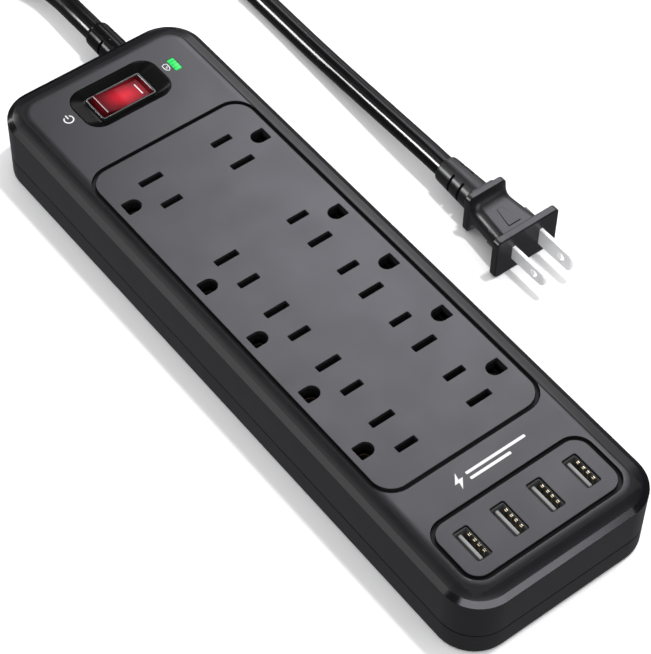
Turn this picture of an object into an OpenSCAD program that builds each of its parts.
// Ten-outlet power strip with four USB ports, a lit rocker switch and a two-blade plug.
// Millimetres, +Z up. The origin is on the floor under the middle of the housing.
// +Y points to the cord end, +X to the right when the USB ports are nearest.

/* [Housing] */
// Length of the housing along Y
body_length = 271; // [268:1:274]
// Width of the housing along X
body_width = 82.3; // [82:0.1:84]
// Height of the top face above the floor
body_height = 29; // [29:0.1:30]
// Plan radius of the housing's corners
corner_radius = 14.5; // [14:0.1:15]
// Thickness of the cover's walls
wall = 2.4; // [2.2:0.1:2.5]
// Height of the seam between the cover and the base
seam_height = 10.1; // [10:0.1:10.4]
// Width of the crisp chamfer around the shoulder
chamfer_width = 2.2; // [1.8:0.1:2.4]
// Height of the crisp chamfer around the shoulder
chamfer_height = 1.2; // [1:0.1:1.4]
// How far in the softly domed edge of the top reaches
dome_reach = 8.7; // [8:0.1:8.8]
// How far the dome falls from the flat top to the chamfer
dome_drop = 1.35; // [1:0.05:1.5]

/* [Outlets] */
// Distance of each column of outlets from the middle
column_x = 15.4; // [15:0.1:15.8]
// Distance between the outlets of the close group
row_pitch = 28.5; // [28:0.1:28.8]
// Distance from the close group to the wide-spaced outlets
wide_pitch = 45.1; // [44:0.1:45.5]
// Place of the first row along Y
first_row_y = -65.15; // [-66:0.05:-65]
// Length of the long blade slot
long_slot = 9.3; // [9:0.1:9.5]
// Length of the short blade slot
short_slot = 8.1; // [7.8:0.1:8.3]
// Width of a blade slot
slot_width = 2.5; // [2.3:0.1:2.7]
// Radius of the round side of a ground hole
ground_radius = 2.85; // [2.8:0.05:2.9]

/* [USB ports] */
// Distance between the ports
usb_pitch = 15.25; // [15:0.05:15.5]
// Place of the row of ports along Y
usb_y = -113.6; // [-114:0.1:-113]
// Length of a port's mouth along Y
usb_mouth_y = 12.9; // [12.8:0.1:13.2]
// Width of a port's mouth along X
usb_mouth_x = 5.8; // [5.7:0.1:6]

/* [Switch] */
// Place of the switch along Y
switch_y = 112.8; // [112.5:0.1:113]
// Tilt of the rocker when it is on
rocker_tilt = 8; // [7:0.5:8]
// Height of the rocker's pivot
pivot_z = 22.7; // [22.5:0.1:22.8]
// Radius of the rocker's round ends about the pivot
rocker_radius = 10.83; // [10.7:0.01:10.85]

/* [Cord and plug] */
// Diameter of the cord
cord_diameter = 8.7; // [8.4:0.1:8.7]
// Place of the cord's exit along X
exit_x = 20.5; // [20:0.5:21]
// Radius at the middle of the coil's turns
coil_radius = 51.65; // [51.65:0.05:51.7]
// Place of the plug's middle along X
plug_x = 83.7; // [83.5:0.1:84]
// Place of the plug's face along Y
plug_face_y = -19.1; // [-20:0.1:-19]
// Distance between the plug's blades
blade_pitch = 12.7; // [12.6:0.05:12.8]
// How far the blades stand out of the plug's face
blade_reach = 17.2; // [15.9:0.1:18]

/* [Hidden] */
$fn = 48;

gap = 0.1;                                    // clearance between pieces that slide together
foot_height = 0.8;                            // how far the feet lift the base
base_floor = 3;                               // inside of the base
seam_gap = 0.4;                               // shadow line between cover and base
lip_inset = wall + 0.15;                      // outside of the base's locating lip
base_inset = lip_inset + 1.2;                 // inside of the base's wall
lip_top = seam_height + 2.4;
ceiling = body_height - 3;                    // underside of the cover's top
shoulder_z = body_height - dome_drop - chamfer_height;
dome_run = dome_reach - chamfer_width;
dome_arc = (dome_run * dome_run + dome_drop * dome_drop) / (2 * dome_drop);
dome_angle = asin(dome_run / dome_arc);
dome_steps = 5;

groove = 1.5;                                 // width of the groove around an inset panel
seat_z = body_height - 1.6;                   // ledge that a panel rests on
panel_bottom = body_height - 4.5;
outlet_pocket = [70, 171.8, 9.25];            // width, length and radius of the pocket
outlet_panel_y = 0.6;
usb_pocket = [66, 26.3, 7.25];
usb_panel_y = -113.65;
ledge = 4.7;                                  // from the pocket's edge to the opening

rows = [for (i = [0:3]) first_row_y + i * row_pitch, first_row_y + 3 * row_pitch + wide_pitch];
blade_gap = 12.7;                             // between an outlet's two slots
ground_x = column_x + 11.9;                   // middle of a ground pin
ground_flat = 3.5;                            // from the round's middle to the flat side
usb_x = [for (i = [0:3]) (i - 1.5) * usb_pitch];
usb_pins = [-3.7, -1.1, 1.1, 3.7];            // places of a port's contacts along Y

tray_z = 8;
tray_top = 10;
tray_half = [31.2, 83];
bar_top = 22.5;
bar_half = 76;
neutral_x = 9;
hot_x = 21.7;
ground_bar_x = ground_x + 3.3;
bar_thickness = 0.8;
leaf_thickness = 0.5;
blade_thickness = 1.5;

surround = [36.6, 20.5, 6.5];                 // the switch's recess at the top face
surround_depth = 2.2;
surround_foot = [24.4, 13.2, 1.2];              // where its slopes meet the switch
switch_outer = [23.5, 12.3];
switch_inner = [21.9, 10.7];
switch_top = body_height - 1.2;
rocker_corner = [9.61, 4.99];                 // rocker's top corner from its pivot, untilted
rocker_dish = 4;                              // slope of each half of the rocker's top
rocker_half = 5.2;
lever_z = 12.2;
lever_tilt = -6;

lens = [2.7, 6.2];
lens_at = [24.35, 113.2];
screw_spots = [for (x = [-1, 1], p = [[33, -124], [34.3, 6], [33, 124]]) [x * p[0], p[1]]];
foot_spots = [for (x = [-29, 29], y = [-108, 108]) [x, y]];
keyhole_y = [-75, 75];
boss_end = seam_height - 0.5;
pillar_top = boss_end - 0.2;

usb_board_z = 11;
board_thickness = 1.6;
usb_board_top = usb_board_z + board_thickness;
surge_board_z = 5;
surge_top = surge_board_z + board_thickness;

cord_radius = cord_diameter / 2;
exit_z = seam_height;
relief_end = 160.6;
back_y = body_length / 2;
tail_start = 118;
plug_z = 9.35;
sleeve_end = 26.4;

// The coil lies flat on its tie: it winds inwards on the floor, climbs, and winds outwards on top.
coil_x = 25.65;
coil_y = 280;
coil_floor = 0.8;
coil_top = coil_floor + 2 * cord_diameter;

// Route of the cord from the strain relief to the coil.
lead_route = [
    [exit_x, relief_end, exit_z], [20.5, 172, 9.8], [20.5, 187.5, 8.8], [19, 198.5, 7.9],
    [14.9, 208.5, 7.1], [8.2, 217, 6.5], [-2.4, 224.8, 6], [-13.9, 232.8, 5.6],
    [-24.5, 244.9, 5.3], [-31.5, 259.2, 5.2], [-34.1, 269.5, 5.15], [-34.7, 280, 5.15]
];
// Route of the cord from the coil to the plug.
run_route = [
    [86, 280, 13.85], [86, 268, 13.7], [86, 254, 12.9], [86, 238, 11.2], [86, 220, 8.9],
    [86, 202, 6.8], [86, 184, 5.2], [86, 166, 4.45], [86, 147, 4.35], [85.7, 126, 4.5],
    [85.2, 106, 5.1], [84.7, 86, 6.2], [84.2, 66, 7.6], [83.8, 48, 8.8], [plug_x, 36, 9.3],
    [plug_x, sleeve_end, plug_z]
];
// Routes of the wires inside the housing.
hot_route = [
    [18.7, 117.2, 10.1], [17.5, 113, 8.6], [15, 108.5, 6.2], [11, 105, 4.7], [5, 103.6, 4.4],
    [-2, 104.4, 4.4], [-6, 107.5, 4.6], [-6.75, 111, 5]
];
neutral_route = [
    [22.3, 117.2, 10.1], [21.5, 112, 8.6], [18.5, 104.5, 6.4], [12, 99.5, 4.8], [4, 98, 4.4],
    [-5, 97.5, 4.8], [-9.5, 97.5, 7], [-13, 97.5, 8.6], [-16, 97.5, 8.4]
];
switched_route = [
    [0, 114.9, 5], [-2, 118.5, 4.6], [-6, 121.3, 4.6], [-10, 121.8, 6.2], [-13.5, 120, 8.4],
    [-16.5, 116.2, 8.6]
];
board_routes = [
    [[-30, 88.9, 8], [-29, 86.4, 9.6], [-26, 84.2, 11.2], [-23.6, 80.6, 11.6]],
    [[-22, 88.9, 8], [-20, 86.4, 9.8], [-16, 84, 12.2], [-13, 81, 13.9], [-11, 77.8, 13.6]],
    [[-24, -76.9, 14.6], [-24.5, -80, 14.6], [-25, -85, 14.2], [-25, -89.5, 13.8]],
    [[-11, -76.9, 14.6], [-11.6, -80, 14.6], [-12.6, -85, 14.2], [-13, -88.9, 13.8]]
];
wire_radius = 1.2;

// ---------- shapes that repeat ----------

// A rectangle with round corners, centred.
module rounded(w, l, r) {
    square([w - 2 * r, l], center = true);
    square([w, l - 2 * r], center = true);
    for (x = [-1, 1], y = [-1, 1]) translate([x * (w / 2 - r), y * (l / 2 - r)]) circle(r);
}

// A plate with round corners standing on z = 0.
module plate(size, h) {
    linear_extrude(h) rounded(size[0], size[1], size[2]);
}

// A solid with a rounded rectangle for its plan and a profile of [inset, z] around its edge.
module edged(size, profile) {
    hx = size[0] / 2 - size[2];
    hy = size[1] / 2 - size[2];
    z0 = profile[0][1];
    z1 = profile[len(profile) - 1][1];
    flank = concat([[0, z0]], [for (p = profile) [size[2] - p[0], p[1]]], [[0, z1]]);
    translate([-hx, -hy, z0]) cube([2 * hx, 2 * hy, z1 - z0]);
    for (i = [0:3]) rotate(90 * i) {
        a = i % 2 == 0 ? hx : hy;
        b = i % 2 == 0 ? hy : hx;
        translate([a, b, 0]) rotate_extrude(angle = 90) polygon(flank);
        translate([a, b, 0]) rotate([90, 0, 0]) linear_extrude(2 * b) polygon(flank);
    }
}

// Points around one ring of a tube, square to the direction d.
function unit(v) = v / norm(v);
function ring(p, d, r, sides) =
    let (s = unit(cross(d, [0, 0, 1])), u = cross(s, d))
    [for (k = [0:sides - 1]) p + r * (cos(360 * k / sides) * s + sin(360 * k / sides) * u)];

// The way a route runs at point i. The ends of a square route run along Y, as its faces do.
function course(route, i, square) =
    let (n = len(route), a = route[max(i - 1, 0)], b = route[min(i + 1, n - 1)])
    square && (i == 0 || i == n - 1) ? [0, sign(b[1] - a[1]), 0] : unit(b - a);

// A round tube swept along a route, one ring at each point.
module tube(route, r, sides, square) {
    n = len(route);
    ahead = [for (i = [0:n - 1]) course(route, i, square)];
    points = [for (i = [0:n - 1]) each ring(route[i], ahead[i], r, sides)];
    skin = [for (i = [0:n - 2], k = [0:sides - 1])
        let (a = i * sides + k, b = i * sides + (k + 1) % sides)
        [a, a + sides, b + sides, b]];
    near = [for (k = [0:sides - 1]) k];
    far = [for (k = [sides - 1:-1:0]) (n - 1) * sides + k];
    polyhedron(points, concat([near], skin, [far]));
}

module at_screws() {
    for (p = screw_spots) translate(p) children();
}

// ---------- housing ----------

module top_cover() {
    dome = [for (i = [0:dome_steps])
        let (a = dome_angle * (1 - i / dome_steps))
        [dome_reach - dome_arc * sin(a), body_height - dome_arc * (1 - cos(a))]];
    color("#3b3b40") difference() {
        union() {
            difference() {
                edged([body_width, body_length, corner_radius],
                      concat([[0, seam_height + seam_gap / 2], [0, shoulder_z]], dome));
                translate([0, 0, seam_height - 1])
                    plate([body_width - 2 * wall, body_length - 2 * wall, corner_radius - wall],
                          ceiling - seam_height + 1);
            }
            at_screws() translate([0, 0, boss_end]) cylinder(r = 2.9, h = ceiling - boss_end + 0.5);
            for (p = [[29.6, 107.8], [29.6, 118.2]])
                translate([p[0], p[1], 18.5]) cylinder(r = 1.3, h = ceiling - 18);
        }
        pocket(outlet_pocket, outlet_panel_y);
        pocket(usb_pocket, usb_panel_y);
        translate([0, switch_y, ceiling - 1])
            plate([surround[0] + 2 * gap, surround[1] + 2 * gap, surround[2] + gap], 5);
        translate([lens_at[0], lens_at[1], body_height])
            cube([lens[0] + gap, lens[1] + gap, 9], center = true);
        at_screws() translate([0, 0, boss_end - 1]) cylinder(r = 1.5, h = 10.5);
        wall_hole();
    }
}

// Pocket for an inset panel, with a ledge and an opening below it.
module pocket(size, y) {
    translate([0, y, seat_z]) plate(size, 3);
    translate([0, y, ceiling - 1])
        plate([size[0] - 2 * ledge + 0.2, size[1] - 2 * ledge + 0.2, size[2] - ledge + 0.1], 4);
}

// Round hole in the back wall for the strain relief's neck.
module wall_hole() {
    translate([exit_x, back_y - wall - 2, exit_z]) rotate([-90, 0, 0]) cylinder(r = 5.1, h = wall + 4);
}

module base_cover() {
    round_edge = [[1.5, foot_height], [0.44, foot_height + 0.44], [0, foot_height + 1.5]];
    color("#343438") difference() {
        union() {
            difference() {
                union() {
                    edged([body_width, body_length, corner_radius],
                          concat(round_edge, [[0, seam_height - seam_gap / 2]]));
                    translate([0, 0, base_floor])
                        plate([body_width - 2 * lip_inset, body_length - 2 * lip_inset,
                               corner_radius - lip_inset], lip_top - base_floor);
                }
                translate([0, 0, base_floor])
                    plate([body_width - 2 * base_inset, body_length - 2 * base_inset,
                           corner_radius - base_inset], body_height);
                translate([exit_x - 8, back_y - base_inset - 1, base_floor])
                    cube([16, base_inset - wall + 1, body_height]);
            }
            at_screws() translate([0, 0, 2]) {
                cylinder(r = 4, h = 4);
                cylinder(r = 2.9, h = pillar_top - 2);
            }
            base_posts();
            for (y = keyhole_y) translate([0, y, base_floor - 0.5]) keyhole_roof();
        }
        for (p = foot_spots) translate([p[0], p[1], -1]) cylinder(r = 5.1, h = 3);
        for (y = keyhole_y) translate([0, y, 0]) keyhole();
        at_screws() {
            translate([0, 0, -1]) cylinder(r = 3, h = 5);
            cylinder(r = 1.6, h = 20);
        }
        for (x = [-6.65, 6.65])
            translate([exit_x + x, 123.5, 4]) cylinder(r = 1.05, h = 10);
        wall_hole();
    }
}

// Posts that carry the tray, the boards, the switch and the cord clamp.
module base_posts() {
    for (x = [-16, 16], y = [-58, 0, 52]) post([x, y], 2.5, tray_z);
    for (x = [-24, 24], y = [-126, -91.5]) post([x, y], 2.2, usb_board_z);
    for (x = [-34, -17], y = [91, 115]) post([x, y], 1.8, surge_board_z);
    for (x = [-10.4, 10.4]) post([x, switch_y + 4], 1.2, 7.9);
    for (x = [-6.65, 6.65]) post([exit_x + x, 123.5], 1.9, 10.9);
    translate([exit_x - 4, 121, 2]) cube([8, 5, 3.7]);
}

module post(at, r, top) {
    translate([at[0], at[1], 2]) cylinder(r = r, h = top - 2);
}

// Closed pocket over a keyhole, so that a screw's head can't reach the inside.
module keyhole_roof() {
    translate([-7.5, -7.5, 0]) cube([15, 23, 5.1]);
}

// Head hole, narrow slot and the room behind them.
module keyhole() {
    translate([0, 0, -1]) cylinder(r = 4.25, h = 5);
    translate([-2.1, 0, -1]) cube([4.2, 9, 5]);
    translate([0, 9, -1]) cylinder(r = 2.1, h = 5);
    translate([-6, -6, base_floor]) cube([12, 20, 3.4]);
}

module inset_panel(size, y) {
    translate([0, y, seat_z])
        plate([size[0] - 2 * groove, size[1] - 2 * groove, size[2] - groove], body_height - seat_z);
    translate([0, y, panel_bottom])
        plate([size[0] - 2 * ledge, size[1] - 2 * ledge, size[2] - ledge], seat_z - panel_bottom + 0.5);
}

// The long slot of the left column is on the +Y side, that of the right column on the -Y side.
module outlet_holes(side) {
    for (y = rows) translate([side * column_x, y, panel_bottom - 1]) {
        translate([-long_slot / 2, -side * blade_gap / 2 - slot_width / 2, 0])
            cube([long_slot, slot_width, 7]);
        translate([-short_slot / 2, side * blade_gap / 2 - slot_width / 2, 0])
            cube([short_slot, slot_width, 7]);
        translate([side * (ground_x - column_x), 0, 0]) {
            cylinder(r = ground_radius, h = 7);
            translate([side > 0 ? 0 : -ground_flat, -ground_radius, 0])
                cube([ground_flat, 2 * ground_radius, 7]);
        }
    }
}

module outlet_panel() {
    color("#47474c") difference() {
        inset_panel(outlet_pocket, outlet_panel_y);
        for (side = [-1, 1]) outlet_holes(side);
    }
}

module usb_panel() {
    color("#47474c") difference() {
        inset_panel(usb_pocket, usb_panel_y);
        for (x = usb_x) translate([x, usb_y, body_height - 2])
            cube([usb_mouth_x, usb_mouth_y, 8], center = true);
    }
}

module rubber_feet() {
    color("#202022") for (p = foot_spots) translate(p) cylinder(r = 5, h = 2);
}

module base_screws() {
    color("#8d9094") at_screws() {
        translate([0, 0, 1.8]) difference() {
            cylinder(r = 2.7, h = 2.1);
            translate([-2, -0.35, -1]) cube([4, 0.7, 1.8]);
            translate([-0.35, -2, -1]) cube([0.7, 4, 1.8]);
        }
        translate([0, 0, 3.5]) cylinder(r = 1.45, h = 15);
    }
}

// ---------- switch ----------

module switch_surround() {
    color("#151517") difference() {
        union() {
            translate([0, switch_y, ceiling - 1]) plate(surround, body_height - ceiling + 1);
            translate([0, switch_y, ceiling - 1.6])
                plate([surround[0] + 5, surround[1] + 5, surround[2] + 2.5], 1.5);
        }
        hull() {
            translate([0, switch_y, body_height - surround_depth]) plate(surround_foot, 0.01);
            translate([0, switch_y, body_height]) plate(surround, 1);
        }
        translate([0, switch_y, ceiling])
            cube([switch_outer[0] + 2 * gap, switch_outer[1] + 2 * gap, 8], center = true);
    }
}

module switch_body() {
    color("#8f9694") translate([0, switch_y, 0]) difference() {
        union() {
            translate([-switch_outer[0] / 2, -switch_outer[1] / 2, 8])
                cube([switch_outer[0], switch_outer[1], switch_top - 8]);
            translate([-13.2, -switch_outer[1] / 2, 22.9]) cube([26.4, switch_outer[1], 1.4]);
        }
        translate([-switch_inner[0] / 2, -switch_inner[1] / 2, 9.5])
            cube([switch_inner[0], switch_inner[1], 20]);
        translate([0, 10, pivot_z]) rotate([90, 0, 0]) cylinder(r = 1.35, h = 20);
        for (x = [-6.75, 0, 6.75]) translate([x - 1.6, -0.5, 7]) cube([3.2, 1, 4]);
    }
}

// Line, load and lamp terminals. The middle one carries the contact lever.
module switch_terminals() {
    color("#b89a5a") translate([0, switch_y, 0]) {
        difference() {
            union() {
                translate([-1.5, -2.5, 9.6]) cube([3, 5, lever_z - 9.6]);
                translate([-1.5, -0.4, 4.2]) cube([3, 0.8, 6]);
            }
            translate([0, 10, lever_z]) rotate([90, 0, 0]) cylinder(r = 0.85, h = 20);
        }
        for (p = [[-6.75, 11.4], [6.75, 10.6]]) {
            translate([p[0] - 1.5, -1.8, 9.6]) cube([3, 3.6, p[1] - 9.6]);
            translate([p[0] - 1.5, -0.4, 4.2]) cube([3, 0.8, 6]);
        }
    }
}

// Places what tilts with the rocker, as it stands when the switch is on.
module on_rocker() {
    translate([0, switch_y, pivot_z]) rotate([0, rocker_tilt, 0]) children();
}

module switch_rocker() {
    middle = rocker_corner[1] - rocker_corner[0] * tan(rocker_dish);
    outline = [[-11, -1.2], [11, -1.2], [11, middle + 11 * tan(rocker_dish)], [0, middle],
               [-11, middle + 11 * tan(rocker_dish)]];
    color("#c01622") on_rocker() difference() {
        union() {
            difference() {
                intersection() {
                    translate([0, rocker_half, 0]) rotate([90, 0, 0])
                        cylinder(r = rocker_radius, h = 2 * rocker_half, $fn = 96);
                    translate([0, rocker_half + 1, 0]) rotate([90, 0, 0])
                        linear_extrude(2 * rocker_half + 2) polygon(outline);
                }
                translate([-8.4, -rocker_half + 1, -2]) cube([16.8, 2 * rocker_half - 2, 4.6]);
            }
            translate([-2.4, -2.4, -3.4]) cube([4.8, 4.8, 6.6]);
            translate([0, 5.95, 0]) rotate([90, 0, 0]) cylinder(r = 1.3, h = 11.9);
        }
        translate([0, 0, -4]) cylinder(r = 1.6, h = 6);
    }
}

// The plunger keeps the spring pressed on the lever and carries it over its middle.
module rocker_plunger() {
    color("#d8d4c8") on_rocker() {
        translate([0, 0, -6.5]) cylinder(r = 1.5, h = 4.4);
        translate([0, 0, -7.4]) sphere(r = 1.5);
        translate([0, 0, -7.4]) cylinder(r = 1.5, h = 2);
    }
}

module plunger_spring() {
    color("#9ea3a8") on_rocker() for (i = [0:4]) translate([0, 0, -1.75 + i * 0.75])
        rotate_extrude() translate([1.1, 0]) circle(0.3, $fn = 16);
}

module switch_lamp() {
    color("#ff9a5a") on_rocker() translate([2.7, 0, 0.7]) rotate([0, 90, 0]) {
        cylinder(r = 1.3, h = 4.2);
        translate([0, 0, 4.2]) sphere(r = 1.3);
    }
}

module contact_lever() {
    color("#c9a45c") translate([0, switch_y, lever_z]) rotate([0, lever_tilt, 0]) {
        translate([-7.7, -2, 0.7]) cube([15.4, 4, 0.8]);
        translate([0, 2, 0]) rotate([90, 0, 0]) cylinder(r = 0.8, h = 4);
        translate([-0.5, -2, 0]) cube([1, 4, 1]);
        for (x = [-6.4, 6.4]) translate([x, 0, 0.2]) cylinder(r = 1.2, h = 0.8);
    }
}

// ---------- indicator ----------

module protected_lens() {
    color("#35e065") translate([lens_at[0], lens_at[1], 0]) {
        translate([-lens[0] / 2, -lens[1] / 2, 20.6]) cube([lens[0], lens[1], body_height + 0.15 - 20.6]);
        translate([-2.1, -3.9, ceiling - 1.6]) cube([4.2, 7.8, 1.5]);
    }
}

module indicator_board() {
    color("#2f6b43") {
        translate([21.6, 105.6, 17.2]) cube([10, 14.8, 1.2]);
        translate([lens_at[0] - 1.2, lens_at[1] - 1.6, 18.3]) cube([2.4, 3.2, 2.2]);
    }
}

// ---------- contacts ----------

module contact_tray() {
    color("#6d6a62") difference() {
        union() {
            translate([-tray_half[0], -tray_half[1], tray_z])
                cube([2 * tray_half[0], 2 * tray_half[1], tray_top - tray_z]);
            for (x = [-5, 5]) translate([x - 0.6, -tray_half[1] + 9, tray_top - 0.5])
                cube([1.2, 2 * tray_half[1] - 18, 8]);
        }
        for (side = [-1, 1], y = rows) translate([side * ground_x, y, tray_z - 1])
            cylinder(r = 2.9, h = 4);
    }
}

// Long strip with a pair of spring leaves at each blade; reach is where its leaves end.
module bus_bar(x, reach, shift) {
    step = sign(reach - x);
    translate([x - bar_thickness / 2, -bar_half, tray_top])
        cube([bar_thickness, 2 * bar_half, bar_top - tray_top]);
    for (y = rows, s = [-1, 1]) {
        inner = (blade_thickness + 0.1 + leaf_thickness) / 2;
        translate([min(x, reach), y + shift + s * inner - leaf_thickness / 2, 14])
            cube([abs(reach - x), leaf_thickness, bar_top - 14]);
    }
    translate([x - bar_thickness / 2 - (step > 0 ? 1.2 : 0), bar_half - 5, tray_top])
        cube([bar_thickness + 1.2, 5, 1]);
}

module hot_bar(side) {
    color("#c08a3e") bus_bar(side * hot_x, side * 10.7, side * blade_gap / 2);
}

module neutral_bar(side) {
    color("#cfa35a") bus_bar(side * neutral_x, side * 20, -side * blade_gap / 2);
}

module hot_bar_left() { hot_bar(-1); }
module hot_bar_right() { hot_bar(1); }
module neutral_bar_left() { neutral_bar(-1); }
module neutral_bar_right() { neutral_bar(1); }

module ground_bar(side) {
    color("#b99146") difference() {
        union() {
            translate([side * ground_bar_x - bar_thickness / 2, -bar_half, tray_top])
                cube([bar_thickness, 2 * bar_half, bar_top - tray_top]);
            for (y = rows) translate([side * ground_x, y, 13]) cylinder(r = 3.1, h = bar_top - 13);
        }
        for (y = rows) translate([side * ground_x, y, 9]) cylinder(r = 2.45, h = 20);
    }
}

module ground_bar_left() { ground_bar(-1); }
module ground_bar_right() { ground_bar(1); }

// Cross links between the two columns: neutral, hot and ground.
module bus_jumpers() {
    color("#e8e4da") {
        link(neutral_x, 77.3);
        link(hot_x, 80.2);
        link(ground_bar_x, -78.5);
    }
}

module link(x, y) {
    translate([-x, y, tray_top + 1.3]) rotate([0, 90, 0]) cylinder(r = 1.15, h = 2 * x);
}

// ---------- surge protection ----------

module surge_board() {
    color("#2f6b43") translate([-37, 88, surge_board_z]) cube([23, 30, board_thickness]);
}

module varistors() {
    color("#2f5fa8") for (y = [92.5, 99, 105.5]) {
        translate([-30, y + 2.2, surge_top + 8.4]) rotate([90, 0, 0]) cylinder(r = 7, h = 4.4);
        for (x = [-32.5, -27.5]) translate([x, y, surge_top + 0.02]) cylinder(r = 0.4, h = 3.2);
    }
}

module thermal_fuse() {
    color("#d6d2c4") translate([-35.5, 111.5, surge_top + 2.1]) rotate([0, 90, 0]) cylinder(r = 2, h = 9);
}

module filter_capacitor() {
    color("#d9b43c") translate([-20.6, 89, surge_top + 0.05]) cube([5.4, 7, 9]);
}

module filter_choke() {
    color("#8a5a34") translate([-19.5, 107, surge_top + 1.9])
        rotate_extrude() translate([3.4, 0]) circle(1.8, $fn = 32);
}

// ---------- USB supply ----------

module usb_board() {
    color("#2f6b43") translate([-29.6, -130, usb_board_z]) cube([59.2, 42, board_thickness]);
}

module usb_transformer() {
    color("#e3c53a") translate([-8, -96, usb_board_top + 0.05]) {
        translate([-7, -6, 0]) cube([14, 12, 2]);
        translate([-5, -5, 1.5]) cube([10, 10, 8.4]);
        translate([-7, -6, 8]) cube([14, 12, 2.2]);
    }
}

module usb_capacitors() {
    color("#39424e") for (x = [7, 17, 25]) translate([x, -96, usb_board_top + 0.05])
        cylinder(r = x > 20 ? 2.5 : 4, h = x > 20 ? 8 : 10.5);
}

module usb_shell(i) {
    color("#6e7073") translate([usb_x[i], usb_y, usb_board_top + 0.1]) difference() {
        translate([-usb_mouth_x / 2 + 0.05, -usb_mouth_y / 2 + 0.05, 0])
            cube([usb_mouth_x - 0.1, usb_mouth_y - 0.1, 15.4]);
        translate([-usb_mouth_x / 2 + 0.35, -usb_mouth_y / 2 + 0.35, -1])
            cube([usb_mouth_x - 0.7, usb_mouth_y - 0.7, 18]);
    }
}

module usb_shell_1() { usb_shell(0); }
module usb_shell_2() { usb_shell(1); }
module usb_shell_3() { usb_shell(2); }
module usb_shell_4() { usb_shell(3); }

module usb_tongue(i) {
    color("#c9c8c8") translate([usb_x[i], usb_y, usb_board_top + 0.1]) {
        translate([-2.5, -6, 0]) cube([5, 12, 4.5]);
        translate([-1.3, -5.6, 4]) cube([1.6, 11.2, 10.8]);
    }
}

module usb_tongue_1() { usb_tongue(0); }
module usb_tongue_2() { usb_tongue(1); }
module usb_tongue_3() { usb_tongue(2); }
module usb_tongue_4() { usb_tongue(3); }

// Four contacts along each tongue.
module usb_contacts() {
    color("#d8b24c") for (x = usb_x, y = usb_pins)
        translate([x + 0.35, usb_y + y - 0.5, usb_board_top + 4.7]) cube([0.25, 1, 9.4]);
}

// Spring fingers on the shells' +X walls.
module usb_springs() {
    color("#d8b24c") for (x = usb_x, y = usb_pins)
        translate([x + 2, usb_y + y - 0.6, usb_board_top + 9]) cube([0.5, 1.2, 6]);
}

// ---------- wires ----------

module hot_wire() { color("#1c1c1e") tube(hot_route, wire_radius, 8, false); }
module neutral_wire() { color("#e9e9e6") tube(neutral_route, wire_radius, 8, false); }
module switched_wire() { color("#a02020") tube(switched_route, wire_radius, 8, false); }
module board_leads() { color("#7c2f2f") for (r = board_routes) tube(r, 1, 8, false); }

// ---------- cord ----------

// Collar inside the wall, neck in the wall and a tapered sleeve outside.
module cord_relief() {
    color("#232325") translate([exit_x, 0, exit_z]) rotate([-90, 0, 0]) difference() {
        union() {
            translate([0, 0, back_y - wall - 3.6]) cylinder(r = 6.9, h = 3.5);
            translate([0, 0, back_y - wall - 1]) cylinder(r = 5, h = wall + 1.5);
            translate([0, 0, back_y + 0.05]) cylinder(r1 = 5.7, r2 = 5.3, h = relief_end - back_y - 0.05);
        }
        translate([0, 0, 120]) cylinder(r = cord_radius + 0.05, h = 60);
        for (s = [-1, 1], z = [146, 152])
            translate([s * 3.9 - 3.3, -6.5, z]) cube([6.6, 13, 1]);
    }
}

module cord_tail() {
    color("#1d1d1f") translate([exit_x, tail_start, exit_z]) rotate([-90, 0, 0])
        cylinder(r = cord_radius, h = relief_end - tail_start);
}

module cord_clamp() {
    color("#46464a") difference() {
        translate([exit_x - 8.6, 121, 11.2]) cube([17.2, 5, 5]);
        translate([exit_x, 110, exit_z]) rotate([-90, 0, 0]) cylinder(r = cord_radius + 0.05, h = 30);
        for (x = [-6.65, 6.65]) translate([exit_x + x, 123.5, 5]) cylinder(r = 1.15, h = 20);
    }
}

module clamp_screws() {
    color("#8d9094") for (x = [-6.65, 6.65]) translate([exit_x + x, 123.5, 0]) {
        translate([0, 0, 5]) cylinder(r = 1, h = 11.5);
        translate([0, 0, 16.25]) cylinder(r = 1.9, h = 1.4);
    }
}

module cord_lead() { color("#1d1d1f") tube(lead_route, cord_radius, 10, true); }
module cord_run() { color("#1d1d1f") tube(run_route, cord_radius, 10, true); }

// Outer shape of the wound turns.
module cord_coil() {
    half = 1.5 * cord_diameter;
    color("#1d1d1f") translate([coil_x, coil_y, 0]) rotate_extrude($fn = 96) polygon([
        [coil_radius - half, coil_floor + 2], [coil_radius - half + 2, coil_floor],
        [coil_radius + half - 2, coil_floor], [coil_radius + half, coil_floor + 2],
        [coil_radius + half, coil_top - 2], [coil_radius + half - 2, coil_top],
        [coil_radius - half + 2, coil_top], [coil_radius - half, coil_top - 2]
    ]);
}

// Strap around the bundle of turns.
module cord_tie() {
    inner = 1.5 * cord_diameter + 0.6;
    top = coil_top + 0.3;
    color("#111112") translate([coil_x - 6, coil_y + coil_radius, 0]) difference() {
        translate([0, -inner - 0.7, 0]) cube([12, 2 * inner + 1.4, top + 0.7]);
        translate([-1, -inner, 0.7]) cube([14, 2 * inner, top - 0.7]);
    }
}

// ---------- plug ----------

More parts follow.
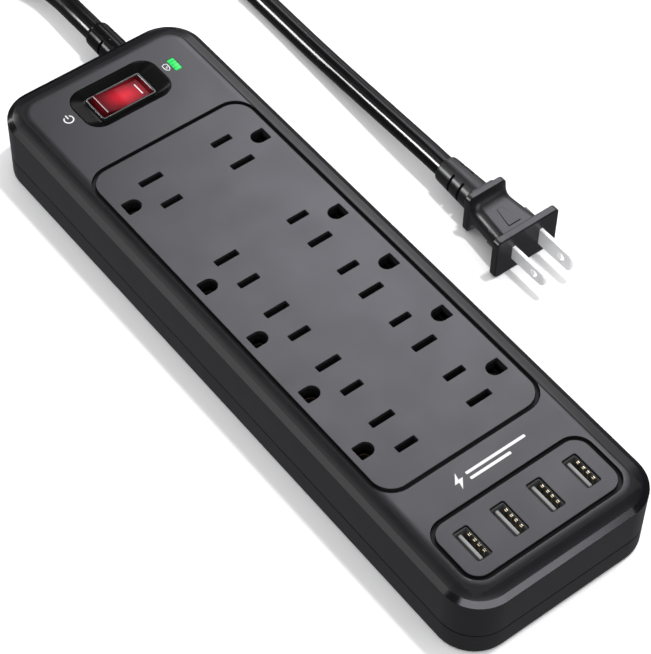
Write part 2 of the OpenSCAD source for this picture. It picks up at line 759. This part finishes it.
// Moulded grip: face flange, waist, collar and slotted sleeve around the cord.
module plug_grip() {
    color("#27272a") difference() {
        union() {
            plug_slab(28.8, 18.7, 2.2, 0, 3.2);
            plug_slab(17.6, 18, 2, 22.6, 26.1);
            plug_slab(13.4, 15.4, 2, 26, 27.4);
            hull() {
                plug_slab(20.4, 9.8, 2, 3, 3.1);
                plug_slab(17, 9.8, 2, 22.9, 23);
            }
            translate([plug_x, plug_face_y + 27, plug_z]) rotate([-90, 0, 0])
                cylinder(r1 = 6.3, r2 = 5.4, h = sleeve_end - plug_face_y - 27);
        }
        translate([plug_x, plug_face_y + 7, plug_z]) cube([18, 9, 7.6], center = true);
        blade_slits();
        for (s = [-1, 1], y = [14.7, 20.7]) translate([plug_x + s * 4.4, y, plug_z])
            translate([-3.9, 0, -7]) cube([7.8, 1, 14]);
        translate([plug_x, sleeve_end - 16, plug_z]) rotate([-90, 0, 0])
            cylinder(r = cord_radius, h = 20);
    }
    color("#27272a") translate([plug_x, sleeve_end - 16.5, plug_z]) rotate([-90, 0, 0])
        cylinder(r = cord_radius, h = 16.5);
}

// A slab of the grip from y0 to y1 behind the face, w wide and h high.
module plug_slab(w, h, r, y0, y1) {
    translate([plug_x, plug_face_y + y1, plug_z]) rotate([90, 0, 0])
        linear_extrude(y1 - y0) rounded(w, h, r);
}

module blade_slits() {
    for (s = [-1, 1]) translate([plug_x + s * blade_pitch / 2, plug_face_y + 2.5, plug_z])
        cube([blade_thickness + 0.1, 8, 8.1], center = true);
}

// Hard core that holds both blades inside the grip.
module plug_core() {
    color("#55524c") difference() {
        translate([plug_x, plug_face_y + 7, plug_z]) cube([17.8, 8.8, 7.4], center = true);
        for (s = [-1, 1]) translate([plug_x + s * blade_pitch / 2, plug_face_y + 2, plug_z])
            cube([blade_thickness + 0.1, 10.4, 8.1], center = true);
    }
}

// Flat blade with a chamfered tip and a round hole.
module blade(side, height) {
    root = 6;
    half = height / 2;
    tip = -blade_reach;
    color("#d5d8db") translate([plug_x + side * blade_pitch / 2 - blade_thickness / 2, plug_face_y, plug_z])
        rotate([90, 0, 90]) linear_extrude(blade_thickness) difference() {
            polygon([
                [root, -half], [root, half], [tip + 1.6, half], [tip, half - 1.8],
                [tip, 1.8 - half], [tip + 1.6, -half]
            ]);
            translate([-11.9, 0]) circle(1.6);
        }
}

module plug_blade_hot() { blade(-1, 6.35); }
module plug_blade_neutral() { blade(1, 7.9); }

top_cover();
base_cover();
outlet_panel();
usb_panel();
switch_surround();
switch_body();
switch_terminals();
switch_rocker();
rocker_plunger();
plunger_spring();
switch_lamp();
contact_lever();
protected_lens();
indicator_board();
contact_tray();
hot_bar_left();
hot_bar_right();
neutral_bar_left();
neutral_bar_right();
ground_bar_left();
ground_bar_right();
bus_jumpers();
surge_board();
varistors();
thermal_fuse();
filter_capacitor();
filter_choke();
usb_board();
usb_transformer();
usb_capacitors();
usb_shell_1();
usb_shell_2();
usb_shell_3();
usb_shell_4();
usb_tongue_1();
usb_tongue_2();
usb_tongue_3();
usb_tongue_4();
usb_contacts();
usb_springs();
hot_wire();
neutral_wire();
switched_wire();
board_leads();
base_screws();
rubber_feet();
cord_relief();
cord_clamp();
clamp_screws();
cord_tail();
cord_lead();
cord_coil();
cord_run();
cord_tie();
plug_grip();
plug_core();
plug_blade_hot();
plug_blade_neutral();
